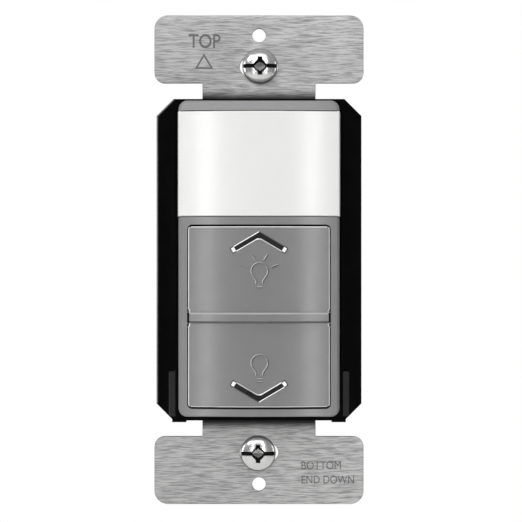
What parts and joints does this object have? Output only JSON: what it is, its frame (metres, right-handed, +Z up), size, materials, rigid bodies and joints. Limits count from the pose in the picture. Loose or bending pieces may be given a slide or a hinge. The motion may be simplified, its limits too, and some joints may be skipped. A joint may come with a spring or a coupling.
{
  "type": "motion sensor dimmer switch",
  "caption": "Strap-mounted motion sensor dimmer switch: crowned lens, two tilting keys with arrow marks, black cover and wall-box housing with side terminals.",
  "frame": {"origin": "centre of the device on the back plane of the metal strap, midway between the two wall-plate holes", "axes": "+X to the right seen from the room, +Y into the wall, +Z up as installed"},
  "size_m": [0.045, 0.0392, 0.1054],
  "materials": {
    "strap_metal": "horizontally brushed",
    "cover_plastic": "black, satin moulded",
    "face_plastic": "grey, satin moulded",
    "lens_plastic": "white, translucent, smooth",
    "key_plastic": "grey, satin moulded",
    "arrow_rim": "bright rim",
    "arrow_guide": "dark smoked",
    "housing_plastic": "black, satin moulded",
    "plated_screw": "nickel plated",
    "washer_fibre": "red fibre",
    "terminal_brass": "brass",
    "case_screw_steel": "zinc plated",
    "board_laminate": "green laminate",
    "sensor_can": "drawn metal",
    "switch_plastic": "black moulded",
    "plunger_plastic": "natural moulded",
    "led_body": "clear to milky",
    "clear_resin": "clear resin",
    "semiconductor_body": "black epoxy",
    "pad_silicone": "grey silicone",
    "ferrite": "dark ferrite",
    "copper_wire": "enamelled copper",
    "capacitor_box": "yellow moulded box",
    "capacitor_can": "sleeved can",
    "varistor_epoxy": "blue epoxy",
    "fuse_body": "brown body",
    "coil_body": "taped coil",
    "ground_screw": "green coated steel"
  },
  "bodies": {
    "base": {"strap": "strap_metal", "front_cover": "cover_plastic", "face_frame": "face_plastic", "sensor_lens": "lens_plastic", "divider_bar": "key_plastic", "rear_housing": "housing_plastic", "screw_retainers": "washer_fibre", "housing_screws": "case_screw_steel", "terminal_plates": "terminal_brass", "control_board": "board_laminate", "pir_sensor": "sensor_can", "light_sensor": "clear_resin", "up_switch_body": "switch_plastic", "down_switch_body": "switch_plastic", "indicator_leds": "led_body", "board_connector": "switch_plastic", "power_board": "board_laminate", "triac": "semiconductor_body", "triac_pad": "pad_silicone", "choke_core": "ferrite", "choke_winding": "copper_wire", "film_capacitor": "capacitor_box", "electrolytic_capacitor": "capacitor_can", "varistor": "varistor_epoxy", "fuse": "fuse_body", "supply_coil": "coil_body"},
    "up_key": {"up_button": "key_plastic", "up_chevron_trim": "arrow_rim", "up_chevron_window": "arrow_guide"},
    "up_plunger": {"up_switch_plunger": "plunger_plastic"},
    "down_key": {"down_button": "key_plastic", "down_chevron_trim": "arrow_rim", "down_chevron_window": "arrow_guide"},
    "down_plunger": {"down_switch_plunger": "plunger_plastic"},
    "top_screw": {"top_mount_screw": "plated_screw"},
    "bottom_screw": {"bottom_mount_screw": "plated_screw"},
    "line_screw": {"line_terminal_screw": "terminal_brass"},
    "load_screw": {"load_terminal_screw": "terminal_brass"},
    "neutral_screw": {"neutral_terminal_screw": "terminal_brass"},
    "ground_screw": {"ground_terminal_screw": "ground_screw"}
  },
  "joints": [
    {"name": "up_key_tilt", "type": "hinge", "parent": "base", "child": "up_key", "pos_m": [0, -0.0056, -0.01072], "axis": [-1, 0, 0], "range_deg": [0, 1.5], "stiffness_Nm_per_rad": 0.3, "springref_deg": -2.86},
    {"name": "up_plunger_travel", "type": "slide", "parent": "base", "child": "up_plunger", "axis": [0, 1, 0], "range_m": [0, 0.00032]},
    {"name": "down_key_tilt", "type": "hinge", "parent": "base", "child": "down_key", "pos_m": [0, -0.0056, -0.01392], "axis": [1, 0, 0], "range_deg": [0, 1.5], "stiffness_Nm_per_rad": 0.3, "springref_deg": -2.86},
    {"name": "down_plunger_travel", "type": "slide", "parent": "base", "child": "down_plunger", "axis": [0, 1, 0], "range_m": [0, 0.00032]},
    {"name": "top_screw_turn", "type": "hinge", "parent": "base", "child": "top_screw", "pos_m": [0.0002, 0, 0.04165], "axis": [0, 1, 0], "continuous": true},
    {"name": "bottom_screw_turn", "type": "hinge", "parent": "base", "child": "bottom_screw", "pos_m": [-0.0002, 0, -0.04165], "axis": [0, 1, 0], "continuous": true},
    {"name": "line_screw_turn", "type": "hinge", "parent": "base", "child": "line_screw", "pos_m": [0.0164, 0.0106, 0.013], "axis": [1, 0, 0], "continuous": true},
    {"name": "load_screw_turn", "type": "hinge", "parent": "base", "child": "load_screw", "pos_m": [0.0164, 0.0106, -0.005], "axis": [1, 0, 0], "continuous": true},
    {"name": "neutral_screw_turn", "type": "hinge", "parent": "base", "child": "neutral_screw", "pos_m": [-0.0164, 0.0106, 0.013], "axis": [-1, 0, 0], "continuous": true},
    {"name": "ground_screw_turn", "type": "hinge", "parent": "base", "child": "ground_screw", "pos_m": [-0.0164, 0.0106, -0.005], "axis": [-1, 0, 0], "continuous": true}
  ],
  "couplings": [
    {"joint": "up_plunger_travel", "follows": "up_key_tilt", "m_per_rad": 0.0119},
    {"joint": "down_plunger_travel", "follows": "down_key_tilt", "m_per_rad": 0.0119}
  ]
}
